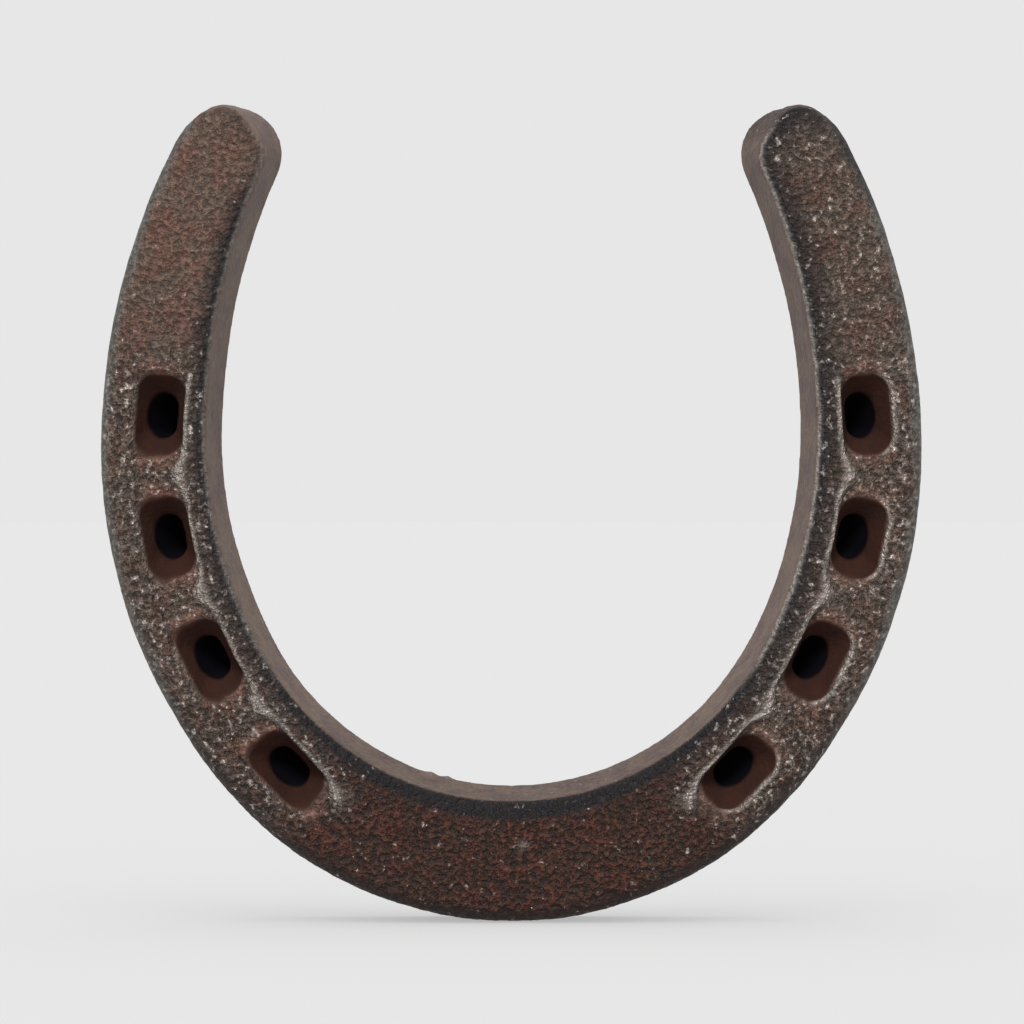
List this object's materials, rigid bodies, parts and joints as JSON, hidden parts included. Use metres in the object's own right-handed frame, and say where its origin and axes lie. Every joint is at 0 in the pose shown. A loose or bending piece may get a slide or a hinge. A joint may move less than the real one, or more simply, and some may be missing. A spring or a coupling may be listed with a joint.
{
  "type": "horseshoe",
  "caption": "U-shaped cast iron horseshoe with a creased ground face, dished nail seats, leaning oblong nail holes and round heel tips.",
  "frame": {"origin": "lowest point of the toe, in the middle of the shoe's width and thickness", "axes": "+Z from the toe up to the open heels, +Y out of the flat hoof face, +X towards the right branch when the ground face is looked at from the front (along +Y)"},
  "size_m": [0.1254, 0.01, 0.1251],
  "materials": {
    "iron": "rough sand-cast surface with a rust brown oxide, rubbed bright on the high grains"
  },
  "bodies": {
    "root": {"shoe": "iron"}
  },
  "joints": []
}
